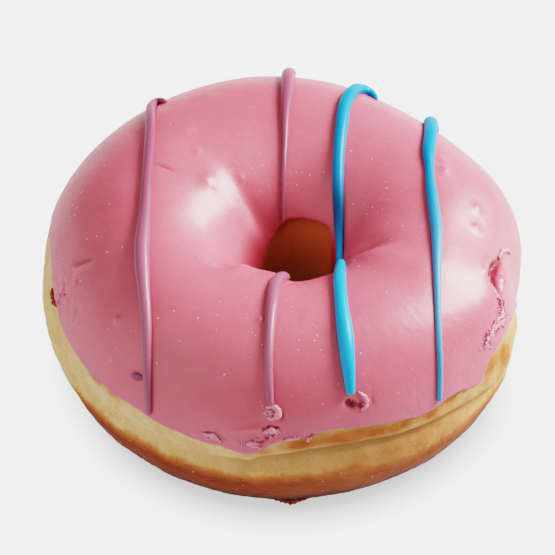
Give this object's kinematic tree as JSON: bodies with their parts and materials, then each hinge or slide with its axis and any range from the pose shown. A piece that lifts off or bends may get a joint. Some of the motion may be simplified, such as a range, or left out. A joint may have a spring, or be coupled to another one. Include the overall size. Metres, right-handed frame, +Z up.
{
  "type": "frosted ring doughnut",
  "caption": "Ring doughnut lying flat: risen fried dough with a pale seam round its side, a pink frosted top half and thin raised icing stripes across it.",
  "frame": {"origin": "under the middle of the doughnut's bounding box, on the surface it lies on", "axes": "+Z up out of the frosted top, +X to the right and -Y to the front as pictured"},
  "size_m": [0.0906, 0.0908, 0.0424],
  "materials": {
    "fried_crust": "satin",
    "pink_frosting": "satin"
  },
  "bodies": {
    "root": {"dough": "fried_crust", "frosting": "pink_frosting"}
  },
  "joints": []
}
